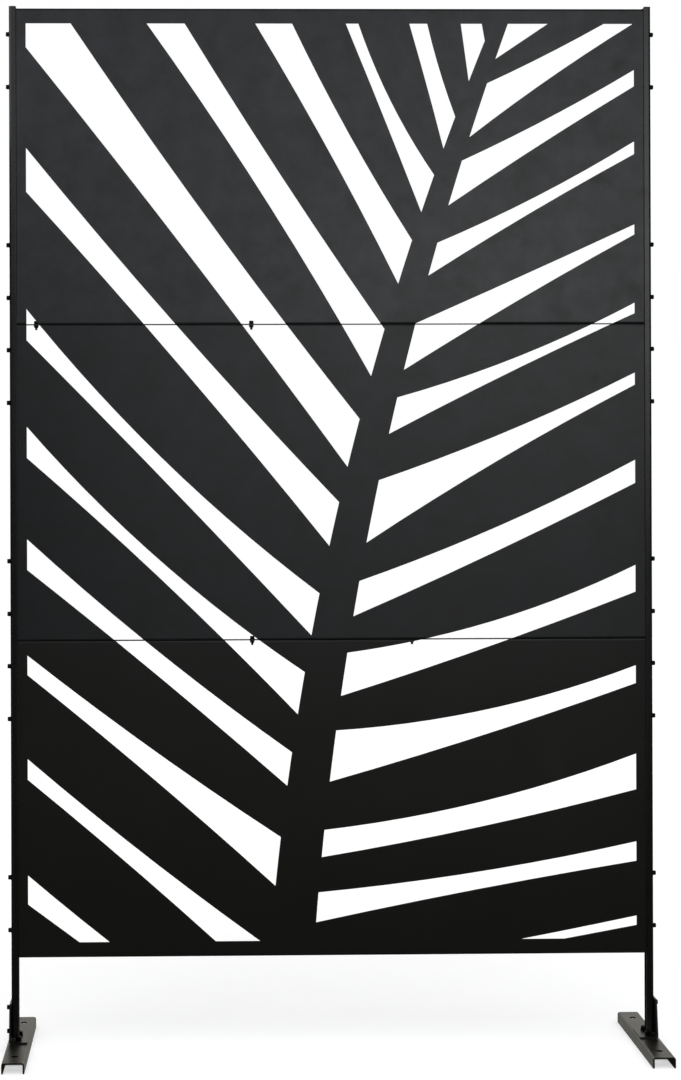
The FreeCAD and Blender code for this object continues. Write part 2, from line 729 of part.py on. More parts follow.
gap_cutter = leaf_gap_cutters()
pieces = []
for tray_level, tray_name in enumerate(PANELS):
    tray_seams = []
    if tray_level > 0:
        tray_seams.append("lower")
    if tray_level < len(PANELS) - 1:
        tray_seams.append("upper")
    pieces.append(make_panel(tray_name, tray_level, tray_seams, gap_cutter))
for side_name, side_sign in SIDES.items():
    pieces.append(make_post(side_name, side_sign))
    pieces.append(make_foot(side_name, side_sign))
    pieces.append(make_bracket(side_name, side_sign))
makers = {"bolt": make_bolt, "washer": make_washer, "nut": make_nut}
fasteners = {(kind, piece): make(kind) for kind in ("small", "large") for piece, make in makers.items()}
pieces += fasten_all()
doc.recompute()

for item in doc.Objects:
    if "Invalid" in item.State or "Error" in item.State:
        raise RuntimeError(f"{item.Label} failed: {item.State}")
for piece in pieces:
    if piece.Shape.isNull() or not piece.Shape.isValid() or not piece.Shape.Solids:
        raise RuntimeError(f"{piece.Label} has no valid solid")

os.makedirs("parts", exist_ok=True)
for piece in pieces:
    piece.Shape.exportStep(f"parts/{piece.Label}.step")
    print(f"{piece.Label}: {len(piece.Shape.Solids)} solids, {piece.Shape.Volume:.1f} mm3")
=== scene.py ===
"""Studio scene of the garden privacy screen, dressed over its packed construction frame."""

import logging
import math
from collections.abc import Iterable, Sequence
from dataclasses import dataclass
from enum import Enum
from typing import ClassVar

import bmesh
import bpy
from mathutils import Matrix, Vector


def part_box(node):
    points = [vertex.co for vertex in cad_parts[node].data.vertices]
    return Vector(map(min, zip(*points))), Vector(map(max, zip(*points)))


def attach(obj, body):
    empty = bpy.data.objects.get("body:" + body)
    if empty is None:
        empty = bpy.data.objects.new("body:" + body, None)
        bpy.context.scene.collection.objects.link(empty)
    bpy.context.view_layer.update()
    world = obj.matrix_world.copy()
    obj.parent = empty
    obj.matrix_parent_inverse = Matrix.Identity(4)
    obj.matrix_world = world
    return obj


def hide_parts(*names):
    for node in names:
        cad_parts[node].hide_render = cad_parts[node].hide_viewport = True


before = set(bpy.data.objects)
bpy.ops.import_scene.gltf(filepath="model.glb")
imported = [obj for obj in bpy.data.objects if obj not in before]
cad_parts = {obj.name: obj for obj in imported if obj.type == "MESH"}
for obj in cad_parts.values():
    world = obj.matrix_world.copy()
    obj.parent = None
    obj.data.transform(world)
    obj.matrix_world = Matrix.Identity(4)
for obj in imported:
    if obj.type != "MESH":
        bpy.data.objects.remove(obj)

LOG = logging.getLogger("privacy_screen")
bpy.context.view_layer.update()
BODY = "root"

Triple = tuple[float, float, float]
Colour = Triple
Range = tuple[float, float]
Outline = Sequence[tuple[float, float]]
Socket = bpy.types.NodeSocket
Mesh = bmesh.types.BMesh

SIDES = {"left": -1, "right": 1}
WHITE: Colour = (1.0, 1.0, 1.0)
UPRIGHT: Triple = (0.0, 0.0, 1.0)
ORIGIN: Triple = (0.0, 0.0, 0.0)
ROUND_STEPS = 96
TOUCH = 1e-6


class Axis(Enum):
    """Axes of the shared frame, by their place in a vector."""

    ACROSS = 0
    DEPTH = 1
    UP = 2


@dataclass(frozen=True)
class Cloud:
    """Noise pattern of a surface.

    Attributes:
        scale: clouds in a metre.
        detail: how many finer layers are added.
        rough: strength of the finer layers.
        band: the noise values between which it is read.
        stretch: factor for each axis; a smaller one draws the pattern out.
    """

    scale: float
    detail: float
    rough: float
    band: Range = (0.0, 1.0)
    stretch: Triple = (1.0, 1.0, 1.0)


class Graph:
    """Node tree of one material or of the world."""

    def __init__(self, owner: bpy.types.Material | bpy.types.World) -> None:
        """Empties the owner's node tree.

        Args:
            owner: the material or world that the tree belongs to.
        """
        owner.use_nodes = True
        self.tree = owner.node_tree
        self.tree.nodes.clear()

    def node(
        self,
        kind: str,
        inputs: dict[str | int, object] | None = None,
        **settings: object,
    ) -> bpy.types.Node:
        """Adds one node.

        Args:
            kind: Blender's name of the node type.
            inputs: values or output sockets for the node's inputs, by name or place.
            settings: the node's own options.

        Returns:
            The new node.
        """
        made = self.tree.nodes.new(kind)
        for name, value in settings.items():
            setattr(made, name, value)
        for name, value in (inputs or {}).items():
            if isinstance(value, Socket):
                self.tree.links.new(value, made.inputs[name])
            else:
                made.inputs[name].default_value = value
        return made

    def object_place(self, stretch: Triple = (1.0, 1.0, 1.0)) -> Socket:
        """Object coordinates of the surface, stretched along the axes.

        Args:
            stretch: factor for each axis; a smaller one draws a pattern out.

        Returns:
            The socket with the coordinates in metres.
        """
        place = self.node("ShaderNodeTexCoord").outputs["Object"]
        return self.node("ShaderNodeMapping", {"Vector": place, "Scale": stretch}).outputs["Vector"]

    def part(self, place: Socket, axis: Axis) -> Socket:
        """One part of a vector.

        Args:
            place: the vector.
            axis: which part.

        Returns:
            The socket with the number.
        """
        return self.node("ShaderNodeSeparateXYZ", {"Vector": place}).outputs[axis.value]

    def noise(self, cloud: Cloud) -> Socket:
        """Cloudy values between 0 and 1.

        Args:
            cloud: the pattern.

        Returns:
            The socket with the values.
        """
        inputs = {
            "Vector": self.object_place(cloud.stretch),
            "Scale": cloud.scale,
            "Detail": cloud.detail,
            "Roughness": cloud.rough,
        }
        return self.node("ShaderNodeTexNoise", inputs).outputs[0]

    def span(self, value: Socket, source: Range, target: Range = (0.0, 1.0)) -> Socket:
        """Maps a range of values to another and holds them inside it.

        Args:
            value: the values.
            source: their range.
            target: the results at its two ends.

        Returns:
            The socket with the results.
        """
        inputs = {0: value, 1: source[0], 2: source[1], 3: target[0], 4: target[1]}
        return self.node("ShaderNodeMapRange", inputs).outputs[0]

    def reckon(self, operation: str, first: object, second: object = 0.0) -> Socket:
        """One step of arithmetic.

        Args:
            operation: Blender's name of it.
            first: value or socket.
            second: value or socket, for operations that take two.

        Returns:
            The socket with the result.
        """
        return self.node("ShaderNodeMath", {0: first, 1: second}, operation=operation).outputs[0]

    def blend(self, share: object, first: object, second: object) -> Socket:
        """Mixes two colours.

        Args:
            share: how much of the second colour.
            first: colour or socket.
            second: colour or socket.

        Returns:
            The socket with the mixed colour.
        """
        inputs = {0: share, 6: first, 7: second}
        return self.node("ShaderNodeMix", inputs, data_type="RGBA").outputs[2]

    def bump(self, height: Socket) -> Socket:
        """Turns heights into the directions that the surface faces.

        Args:
            height: heights in metres.

        Returns:
            The socket with the directions.
        """
        inputs = {"Height": height, "Strength": 1.0, "Distance": 1.0}
        return self.node("ShaderNodeBump", inputs).outputs["Normal"]

    def seen(self) -> Socket:
        """Whether a ray comes from the eye, a reflection or through glass.

        Returns:
            The socket with 1 or 0.
        """
        path = self.node("ShaderNodeLightPath").outputs
        seen = self.reckon("MAXIMUM", path["Is Camera Ray"], path["Is Glossy Ray"])
        return self.reckon("MAXIMUM", seen, path["Is Transmission Ray"])

    def finish(self, kind: str, shader: Socket) -> None:
        """Leads the shader to the tree's output.

        Args:
            kind: Blender's name of the output node.
            shader: the socket with the shader.
        """
        self.node(kind, {"Surface": shader})


def opaque(colour: Colour) -> tuple[float, float, float, float]:
    """Gives a colour full cover.

    Args:
        colour: the colour.

    Returns:
        The colour with its cover.
    """
    return (*colour, 1.0)


@dataclass(frozen=True)
class RolledEdge:
    """Pair of edges at which a sheet rolls over before its fold or its cut.

    Attributes:
        axis: axis across the edges.
        middle: place half-way between them.
        start: distance from the middle at which the roll starts.
        end: distance at which it ends.
        slope: how steep it gets there.
    """

    axis: Axis
    middle: float
    start: float
    end: float
    slope: float = 1.0

    def drop(self, graph: Graph, place: Socket) -> Socket:
        """Depth of the roll below the flat of the sheet.

        Args:
            graph: node tree of the coat.
            place: object coordinates in metres.

        Returns:
            The socket with the depth in metres.
        """
        across = graph.reckon("SUBTRACT", graph.part(place, self.axis), self.middle)
        away = graph.reckon("ABSOLUTE", across)
        share = graph.span(away, (self.start, self.end))
        deepest = self.slope * abs(self.end - self.start) / 2
        return graph.reckon("MULTIPLY", graph.reckon("MULTIPLY", share, share), deepest)


@dataclass(frozen=True)
class PowderCoat:
    """Satin black powder coat on sheet steel.

    Attributes:
        name: name of the material.
        tone: colour of the coat; on the panels it also holds painted light, lighter and bluer on
            the higher panels and darker and more olive on the lower ones.
        handled: colour where hands and packing have rubbed it.
        roughness: how satin it is.
        middle: height of the sheet's middle.
        lean: slope by which the sheet leans back.
        bow: how fast it leans further back below its middle, for each metre.
        wave: height of the sheet's long waves in metres.
        gleam: colour cast of its gloss.
        rolled: edges at which the sheet rolls over.
    """

    CLOUDS: ClassVar[Cloud] = Cloud(5.0, 3.0, 0.5, band=(0.3, 0.7))
    MOTTLE: ClassVar[Cloud] = Cloud(21.0, 6.0, 0.72, band=(0.36, 0.64))
    RUBS: ClassVar[Cloud] = Cloud(13.0, 3.0, 0.6, band=(0.57, 0.70), stretch=(1.0, 1.0, 0.8))
    HANDS: ClassVar[Cloud] = Cloud(2.3, 1.0, 0.5, band=(0.42, 0.58))
    PEEL: ClassVar[Cloud] = Cloud(620.0, 2.0, 0.5)
    WAVES: ClassVar[Cloud] = Cloud(2.4, 1.0, 0.4, stretch=(1.0, 1.0, 0.7))
    PEEL_HEIGHT: ClassVar[float] = 0.00004
    CLOUD_GLOSS: ClassVar[float] = 0.015
    MOTTLE_GLOSS: ClassVar[float] = 0.02
    RUB_GLOSS: ClassVar[float] = 0.06
    RUB_COVER: ClassVar[float] = 0.9
    REFRACTION: ClassVar[float] = 1.46

    name: str
    tone: Colour = (0.0044, 0.0046, 0.0043)
    handled: Colour = (0.0036, 0.0035, 0.0022)
    roughness: float = 0.37
    middle: float = 0.0
    lean: float = 0.0
    bow: float = 0.0
    wave: float = 0.0006
    gleam: Colour = WHITE
    rolled: RolledEdge | None = None

    def material(self) -> bpy.types.Material:
        """Builds the coat.

        Returns:
            The material.
        """
        made = bpy.data.materials.new(self.name)
        graph = Graph(made)
        clouds, mottle = graph.noise(self.CLOUDS), graph.noise(self.MOTTLE)
        rubs = graph.span(graph.noise(self.RUBS), self.RUBS.band, (0.0, self.RUB_COVER))
        hands = graph.span(graph.noise(self.HANDS), self.HANDS.band)
        rubbed = graph.reckon("MULTIPLY", rubs, hands)
        mottled = graph.span(mottle, self.MOTTLE.band)
        tone = graph.blend(mottled, opaque(self.tone), opaque(self.handled))
        tone = graph.blend(rubbed, tone, opaque(self.handled))
        satin = (self.roughness - self.CLOUD_GLOSS, self.roughness + self.CLOUD_GLOSS)
        gloss = graph.span(clouds, self.CLOUDS.band, satin)
        uneven = graph.span(mottle, self.MOTTLE.band, (-self.MOTTLE_GLOSS, self.MOTTLE_GLOSS))
        gloss = graph.reckon("ADD", gloss, uneven)
        gloss = graph.reckon("ADD", gloss, graph.reckon("MULTIPLY", rubbed, self.RUB_GLOSS))
        inputs = {
            "Base Color": tone,
            "Roughness": gloss,
            "IOR": self.REFRACTION,
            "Normal": graph.bump(self.relief(graph)),
            "Specular Tint": opaque(self.gleam),
        }
        shader = graph.node("ShaderNodeBsdfPrincipled", inputs)
        graph.finish("ShaderNodeOutputMaterial", shader.outputs[0])
        return made

    def relief(self, graph: Graph) -> Socket:
        """Height of the coated surface: its fine peel, long waves, lean, bow and rolled edges.

        Args:
            graph: node tree of the coat.

        Returns:
            The socket with the height in metres.
        """
        place = graph.object_place()
        height = graph.reckon("MULTIPLY", graph.noise(self.PEEL), self.PEEL_HEIGHT)
        if self.wave:
            waves = graph.reckon("MULTIPLY", graph.noise(self.WAVES), self.wave)
            height = graph.reckon("ADD", height, waves)
        if self.lean or self.bow:
            above = graph.reckon("SUBTRACT", graph.part(place, Axis.UP), self.middle)
            bend = graph.reckon("MULTIPLY", above, self.bow / 2)
            slope = graph.reckon("SUBTRACT", bend, self.lean)
            height = graph.reckon("ADD", height, graph.reckon("MULTIPLY", above, slope))
        if self.rolled:
            height = graph.reckon("SUBTRACT", height, self.rolled.drop(graph, place))
        return height


@dataclass(frozen=True)
class BlackenedSteel:
    """Blackened steel of the fasteners, worn a little brighter in patches.

    Attributes:
        name: name of the material.
        tone: colour of the blackened surface.
        worn: colour where it is worn.
        roughness: how dull it is.
    """

    WEAR: ClassVar[Cloud] = Cloud(260.0, 4.0, 0.6, band=(0.48, 0.72))
    GLOSS_BAND: ClassVar[Range] = (0.3, 0.7)
    DULLER: ClassVar[float] = 0.08
    SHINIER: ClassVar[float] = 0.06
    GRAIN: ClassVar[Cloud] = Cloud(2400.0, 2.0, 0.5)
    GRAIN_HEIGHT: ClassVar[float] = 0.00001

    name: str
    tone: Colour = (0.010, 0.010, 0.011)
    worn: Colour = (0.034, 0.032, 0.030)
    roughness: float = 0.36

    def material(self) -> bpy.types.Material:
        """Builds the finish.

        Returns:
            The material.
        """
        made = bpy.data.materials.new(self.name)
        graph = Graph(made)
        wear = graph.noise(self.WEAR)
        tone = graph.blend(graph.span(wear, self.WEAR.band), opaque(self.tone), opaque(self.worn))
        dullness = (self.roughness + self.DULLER, self.roughness - self.SHINIER)
        height = graph.reckon("MULTIPLY", graph.noise(self.GRAIN), self.GRAIN_HEIGHT)
        inputs = {
            "Base Color": tone,
            "Roughness": graph.span(wear, self.GLOSS_BAND, dullness),
            "Metallic": 1.0,
            "Normal": graph.bump(height),
        }
        shader = graph.node("ShaderNodeBsdfPrincipled", inputs)
        graph.finish("ShaderNodeOutputMaterial", shader.outputs[0])
        return made


@dataclass(frozen=True)
class FastenerSizes:
    """Sizes of one bolt with its washer and nut, in metres.

    Attributes:
        shank: radius of the bolt's shank.
        length: its length below the head.
        head: radius of the head.
        head_height: height of the head.
        socket: width of the socket across its flats.
        socket_depth: depth of the socket.
        pitch: pitch of the thread.
        nut: width of the nut across its flats.
        nut_height: height of its hexagon.
        collar: radius of its collar.
        collar_height: height of its collar.
        washer: radius of the washer.
        washer_wall: thickness of the washer.
    """

    shank: float
    length: float
    head: float
    head_height: float
    socket: float
    socket_depth: float
    pitch: float
    nut: float
    nut_height: float
    collar: float
    collar_height: float
    washer: float
    washer_wall: float


class FastenerKind(Enum):
    """The two sizes of fastener on the screen."""

    SMALL = FastenerSizes(
        shank=0.0025,
        length=0.012,
        head=0.00425,
        head_height=0.005,
        socket=0.004,
        socket_depth=0.0025,
        pitch=0.0008,
        nut=0.008,
        nut_height=0.0035,
        collar=0.0036,
        collar_height=0.0015,
        washer=0.005,
        washer_wall=0.001,
    )
    LARGE = FastenerSizes(
        shank=0.003,
        length=0.016,
        head=0.005,
        head_height=0.006,
        socket=0.005,
        socket_depth=0.003,
        pitch=0.001,
        nut=0.010,
        nut_height=0.0045,
        collar=0.0045,
        collar_height=0.0015,
        washer=0.006,
        washer_wall=0.0016,
    )


def hexagon(angle: float, across: float) -> float:
    """Distance from the middle of a hexagon to its edge.

    Args:
        angle: direction in radians; a corner lies at 0.
        across: width across the flats.

    Returns:
        The distance.
    """
    beside = angle % (math.pi / 3) - math.pi / 6
    return across / 2 / math.cos(beside)


def turned(profile: Outline, steps: int, closed: bool = False) -> Mesh:
    """Turns a half profile once round the upright axis.

    Args:
        profile: pairs of radius and height.
        steps: columns round the axis.
        closed: whether the profile's end joins its start.

    Returns:
        The turned mesh, which the caller frees.
    """
    mesh = bmesh.new()
    ends = [height for radius, height in profile if radius == 0.0]
    on_axis = {height: mesh.verts.new((0.0, 0.0, height)) for height in ends}
    columns = []
    for step in range(steps):
        angle = math.tau * step / steps
        column = []
        for radius, height in profile:
            spot = (radius * math.cos(angle), radius * math.sin(angle), height)
            column.append(mesh.verts.new(spot) if radius else on_axis[height])
        columns.append(column + column[:1] if closed else column)
    for column, following in zip(columns, columns[1:] + columns[:1]):
        for low, high, next_low, next_high in zip(column, column[1:], following, following[1:]):
            mesh.faces.new(dict.fromkeys((low, next_low, next_high, high)))
    bmesh.ops.recalc_face_normals(mesh, faces=mesh.faces)
    return mesh


@dataclass
class CapBolt:
    """Cap bolt with a serrated head, a hexagon socket and a threaded shank below its seat.

    Attributes:
        sizes: the fastener's sizes.
        columns: columns round the bolt; the serrations take two each.
        rim: rounding of the head's upper rim.
        rim_steps: faces across that rounding.
        serration: depth of the serrations.
        serration_end: where they end, in rims below the top of the head.
        neck: step from the serrations in to the rim.
        neck_end: where that step ends, in rims below the top of the head.
        edge: broken edge under the head and inside the socket's mouth.
        mouth_bevel: width of the bevel round the socket.
        socket_tip: depth of the socket's pointed end, in depths of the socket.
        thread_depth: depth of the thread, in pitches.
        crest: flat on the thread's crest, in pitches.
        crest_play: how far the crest stays inside the shank.
        root_start: where the thread's root starts, in pitches.
        root_end: where the root ends, in pitches.
        runout: length of the thread's end, in pitches.
        plain: share of the shank without a thread.
    """

    sizes: FastenerSizes
    columns: int = 72
    rim: float = 0.0005
    rim_steps: int = 4
    serration: float = 0.00013
    serration_end: float = 2.2
    neck: float = 0.0001
    neck_end: float = 1.6
    edge: float = 0.0002
    mouth_bevel: float = 0.00035
    socket_tip: float = 1.16
    thread_depth: float = 0.6
    crest: float = 0.12
    crest_play: float = 0.00005
    root_start: float = 0.5
    root_end: float = 0.62
    runout: float = 0.4
    plain: float = 0.25

    def thread(self) -> list[tuple[float, float]]:
        """Half profile of the shank, from its tip up to the seat.

        Returns:
            Pairs of radius and height.
        """
        s = self.sizes
        root = s.shank - self.thread_depth * s.pitch
        crest = s.shank - self.crest_play
        points = [(0.0, -s.length), (root, -s.length)]
        height = -s.length + self.thread_depth * s.pitch
        while height + s.pitch < -self.plain * s.length:
            points += [(crest, height), (crest, height + self.crest * s.pitch)]
            points.append((root, height + self.root_start * s.pitch))
            points.append((root, height + self.root_end * s.pitch))
            height += s.pitch
        return points + [(s.shank, height + self.runout * s.pitch), (s.shank, 0.0)]

    def head(self) -> list[tuple[float, float]]:
        """Half profile of the head, from its seat to the bottom of the socket.

        Returns:
            Pairs of radius and height.
        """
        s, rim, top = self.sizes, self.rim, self.sizes.head_height
        points = [(s.head - self.edge, 0.0), (s.head, self.edge)]
        points.append((s.head, top - self.serration_end * rim))
        points.append((s.head - self.neck, top - self.neck_end * rim))
        for step in range(self.rim_steps + 1):
            turn = step / self.rim_steps * math.pi / 2
            outwards, upwards = rim * math.cos(turn), rim * math.sin(turn)
            points.append((s.head - rim - self.neck + outwards, top - rim + upwards))
        mouth = s.socket / 2
        points += [(mouth + self.mouth_bevel, top), (mouth, top - self.edge)]
        points.append((mouth, top - s.socket_depth))
        return points + [(0.0, top - self.socket_tip * s.socket_depth)]

    def mesh(self) -> Mesh:
        """Builds the bolt with the head's seat at the origin.

        Returns:
            The mesh, which the caller frees.
        """
        s = self.sizes
        mesh = turned(self.thread() + self.head(), self.columns)
        serrated_from = self.edge / 2
        serrated_to = s.head_height - (self.serration_end + self.neck_end) / 2 * self.rim
        grooves = []
        for vert in mesh.verts:
            radius = vert.co.xy.length
            angle = math.atan2(vert.co.y, vert.co.x)
            column = round(angle / math.tau * self.columns)
            outside = radius > s.head - TOUCH and serrated_from < vert.co.z < serrated_to
            if outside and column % 2:
                grooves.append(vert)
            in_socket = vert.co.z > s.head_height - s.socket_depth - TOUCH
            if in_socket and abs(radius - s.socket / 2) < TOUCH:
                vert.co.xy *= hexagon(angle, s.socket) / radius
        depth = 1.0 - self.serration / s.head
        bmesh.ops.scale(mesh, vec=(depth, depth, 1.0), verts=grooves)
        return mesh


@dataclass
class Washer:
    """Flat washer with broken edges, lying on the origin.

    Attributes:
        sizes: the fastener's sizes.
        columns: columns round the washer.
        bore_play: play of the bore round the shank.
        edge: width of the broken edges.
    """

    sizes: FastenerSizes
    columns: int = 48
    bore_play: float = 0.00025
    edge: float = 0.00012

    def mesh(self) -> Mesh:
        """Builds the washer.

        Returns:
            The mesh, which the caller frees.
        """
        s, edge = self.sizes, self.edge
        bore, wall = s.shank + self.bore_play, s.washer_wall
        profile = [(bore + edge, 0.0), (s.washer - edge, 0.0)]
        profile += [(s.washer, edge), (s.washer, wall - edge)]
        profile += [(s.washer - edge, wall), (bore + edge, wall)]
        profile += [(bore, wall - edge), (bore, edge)]
        return turned(profile, self.columns, closed=True)


@dataclass
class LockNut:
    """Lock nut: bevelled hexagon, round collar and a soft ring inside it, below the origin.

    Attributes:
        sizes: the fastener's sizes.
        columns: columns round the nut.
        bevel_steps: faces across the bevel of a corner.
        bore_play: play of the bore round the shank.
        mouth: bevel at both ends of the bore.
        seat: share of the hexagon's half width that the flat seat takes.
        collar_edge: rounding of the collar.
        collar_round: how far the rounding's middle lies inside its corner.
        ring: width of the soft ring at the end of the collar.
        ring_depth: depth of the ring's bevel.
    """

    sizes: FastenerSizes
    columns: int = 72
    bevel_steps: int = 4
    bore_play: float = 0.00005
    mouth: float = 0.0003
    seat: float = 0.97
    collar_edge: float = 0.0005
    collar_round: float = 0.00015
    ring: float = 0.00045
    ring_depth: float = 0.0004

    def mesh(self) -> Mesh:
        """Builds the nut with its seat at the origin.

        Returns:
            The mesh, which the caller frees.
        """
        s = self.sizes
        bore, flat = s.shank + self.bore_play, s.nut / 2
        corner = flat * 2 / math.sqrt(3)
        drop = (corner - flat) / math.sqrt(3)
        end = -s.nut_height - s.collar_height
        steps = range(self.bevel_steps + 1)
        levels = [-drop * step / self.bevel_steps for step in steps]
        levels += [-s.nut_height + drop * step / self.bevel_steps for step in reversed(steps)]
        profile = [(bore + self.mouth, 0.0), (flat * self.seat, 0.0)]
        profile += [(corner, level) for level in levels]
        profile += [(s.collar, -s.nut_height), (s.collar, end + self.collar_edge)]
        profile.append((s.collar - self.collar_round, end + self.collar_round))
        profile += [(s.collar - self.collar_edge, end), (bore + self.ring, end)]
        profile += [(bore + self.mouth, end + self.ring_depth), (bore, end + self.collar_edge)]
        profile.append((bore, -self.mouth))
        mesh = turned(profile, self.columns, closed=True)
        for vert in mesh.verts:
            radius = vert.co.xy.length
            if radius < corner - TOUCH:
                continue
            angle = math.atan2(vert.co.y, vert.co.x)
            from_face = min(-vert.co.z, vert.co.z + s.nut_height)
            cone = flat + max(from_face, 0.0) * math.sqrt(3)
            vert.co.xy *= min(hexagon(angle, s.nut), cone) / radius
        return mesh


@dataclass(frozen=True)
class BoltedJoint:
    """One row of equal fasteners.

    Attributes:
        label: beginning of the names of the row's bolts, washers and nuts.
        kind: size of its fasteners.
        row: axis along which they follow each other.
        outwards: axis that the bolt heads point along.
        sign: way along that axis.
        inset: from the outer fasteners to the inner ones; none where the row is a pair.
    """

    label: str
    kind: FastenerKind
    row: Axis
    outwards: Axis
    sign: int
    inset: float | None = None

    def seats(self, piece: str) -> list[Vector]:
        """Where the pieces of one sort sit, read from the construction frame.

        Args:
            piece: bolts, washers or nuts.

        Returns:
            The origin of each piece.
        """
        low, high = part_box(f"{self.label}_washers")
        reach = self.kind.value.washer
        first, last = low[self.row.value] + reach, high[self.row.value] - reach
        places = [first, last]
        if self.inset is not None:
            places = [first, first + self.inset, last - self.inset, last]
        faces = (low, high) if self.sign > 0 else (high, low)
        level = faces[0][self.outwards.value]
        if piece == "bolts":
            level = faces[1][self.outwards.value]
        if piece == "nuts":
            nut_low, nut_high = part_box(f"{self.label}_nuts")
            level = (nut_high if self.sign > 0 else nut_low)[self.outwards.value]
        seats = []
        for place in places:
            seat = (Vector(low) + Vector(high)) / 2
            seat[self.row.value] = place
            seat[self.outwards.value] = level
            seats.append(seat)
        return seats

    def turn(self) -> Matrix:
        """Turns an upright fastener to the joint's outward direction.

        Returns:
            The rotation.
        """
        way = Vector(ORIGIN)
        way[self.outwards.value] = self.sign
        return Vector(UPRIGHT).rotation_difference(way).to_matrix().to_4x4()


def new_piece(
    name: str,
    mesh: Mesh,
    material: bpy.types.Material,
    smooth_below: float = 35.0,
) -> bpy.types.Object:
    """Makes an object of a mesh and frees the mesh.

    Args:
        name: name of the piece.
        mesh: its mesh, in place.
        material: its finish.
        smooth_below: faces that meet at less than this angle in degrees shade smoothly.

    Returns:
        The object, linked to the scene.
    """
    for face in mesh.faces:
        face.smooth = True
    for edge in mesh.edges:
        if len(edge.link_faces) == 2:
            edge.smooth = edge.calc_face_angle(0.0) < math.radians(smooth_below)
    data = bpy.data.meshes.new(name)
    mesh.to_mesh(data)
    mesh.free()
    data.materials.append(material)
    piece = bpy.data.objects.new(name, data)
    bpy.context.scene.collection.objects.link(piece)
    return piece


@dataclass
class Fastenings:
    """Every bolt, washer and nut of the screen.

    Attributes:
        bolt_finish: finish of the bolts.
        washer_finish: finish of the washers.
        nut_finish: finish of the nuts.
        side_inset: from the outer to the inner bolts at the side of a panel.
        seam_inset: from the outer to the inner bolts along a seam.
        golden_turn: turn in radians from one fastener to the next, so that no two look alike.
    """

    bolt_finish: BlackenedSteel
    washer_finish: BlackenedSteel
    nut_finish: BlackenedSteel
    side_inset: float = 0.100
    seam_inset: float = 0.408
    golden_turn: float = 2.399963

    def joints(self) -> list[BoltedJoint]:
        """Lists the bolted joints.

        Returns:
            The joints of the posts, brackets and feet on both sides, then those of the seams.
        """
        small, large = FastenerKind.SMALL, FastenerKind.LARGE
        rows = []
        for side, sign in SIDES.items():
            sideways = (small, Axis.UP, Axis.ACROSS, sign)
            for panel in ("bottom", "middle", "top"):
                rows.append(BoltedJoint(f"{side}_{panel}", *sideways, self.side_inset))
            rows.append(BoltedJoint(f"{side}_bracket", *sideways))
            rows.append(BoltedJoint(f"{side}_foot", large, Axis.DEPTH, Axis.UP, 1))
        for seam in ("lower_seam", "upper_seam"):
            rows.append(BoltedJoint(seam, small, Axis.ACROSS, Axis.UP, 1, self.seam_inset))
        return rows

    def build(self) -> None:
        """Builds each row's bolts, washers and nuts in place of the plain ones."""
        finishes = {
            "bolts": self.bolt_finish.material(),
            "washers": self.washer_finish.material(),
            "nuts": self.nut_finish.material(),
        }
        makers = {"bolts": CapBolt, "washers": Washer, "nuts": LockNut}
        for joint in self.joints():
            for piece, maker in makers.items():
                pattern = bpy.data.meshes.new("pattern")
                single = maker(joint.kind.value).mesh()
                single.to_mesh(pattern)
                single.free()
                row = self.repeated(pattern, joint, piece)
                bpy.data.meshes.remove(pattern)
                node = f"{joint.label}_{piece}"
                made = new_piece(f"{node}_dressed", row, finishes[piece])
                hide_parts(node)
                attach(made, BODY)
                LOG.info("%s: %d faces", made.name, len(made.data.polygons))

    def repeated(self, pattern: bpy.types.Mesh, joint: BoltedJoint, piece: str) -> Mesh:
        """Repeats one fastener along its row, each turned a little further round its own axis.

        Args:
            pattern: mesh of the single fastener.
            joint: the row.
            piece: bolts, washers or nuts.

        Returns:
            The mesh of the whole row, which the caller frees.
        """
        row = bmesh.new()
        for number, seat in enumerate(joint.seats(piece)):
            known = set(row.verts)
            row.from_mesh(pattern)
            fresh = [vert for vert in row.verts if vert not in known]
            spin = Matrix.Rotation(self.golden_turn * (number + len(joint.label)), 4, "Z")
            where = Matrix.Translation(seat) @ joint.turn() @ spin
            bmesh.ops.transform(row, matrix=where, verts=fresh)
        return row


@dataclass
class SheetMetal:
    """Coated panels, posts, feet and brackets.

    Attributes:
        panel_coats: coat of each panel, by its level.
        post_coat: coat of the posts.
        foot_coat: coat of the feet and brackets.
    """

    panel_coats: dict[str, PowderCoat]
    post_coat: PowderCoat
    foot_coat: PowderCoat

    def dress(self) -> None:
        """Gives every sheet-metal node its coat."""
        for panel, coat in self.panel_coats.items():
            self.paint(f"{panel}_panel", coat.material())
        post_material, foot_material = self.post_coat.material(), self.foot_coat.material()
        for side in SIDES:
            self.paint(f"{side}_post", post_material)
            self.paint(f"{side}_foot", foot_material)
            self.paint(f"{side}_foot_bracket", foot_material)

    def paint(self, node: str, material: bpy.types.Material) -> None:
        """Puts a coat on one node.

        Args:
            node: name of the node.
            material: the coat.
        """
        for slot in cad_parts[node].material_slots:
            slot.material = material
        LOG.info("%s: %s", node, material.name)


